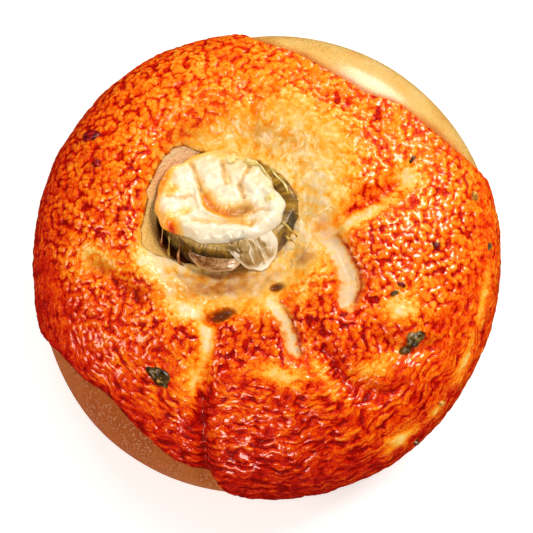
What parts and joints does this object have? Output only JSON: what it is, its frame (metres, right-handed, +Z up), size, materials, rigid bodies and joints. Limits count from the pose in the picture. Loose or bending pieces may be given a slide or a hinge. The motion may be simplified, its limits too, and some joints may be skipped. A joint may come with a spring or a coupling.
{
  "type": "bagel",
  "caption": "Round baked bagel with its hole swollen shut, a blistered browned cheese topping, and a slice of green pepper under melted cheese in the hollow.",
  "frame": {"origin": "on the resting plane, under the middle of the bun's bounding box", "axes": "+Z up, out of the cheese-covered top; +Y away from the eater, towards the side where the pepper slice leans; +X to the right"},
  "size_m": [0.108, 0.1087, 0.0417],
  "materials": {
    "dough": "satin baked crust, glossy where it faces up",
    "cheese_crust": "oily, blistered, browned cheese",
    "pepper_slice": "wet cooked pepper",
    "melted_cheese": "smooth glossy melted cheese"
  },
  "bodies": {
    "root": {"dough": "dough", "cheese_crust": "cheese_crust", "pepper_slice": "pepper_slice", "melted_cheese": "melted_cheese"}
  },
  "joints": []
}
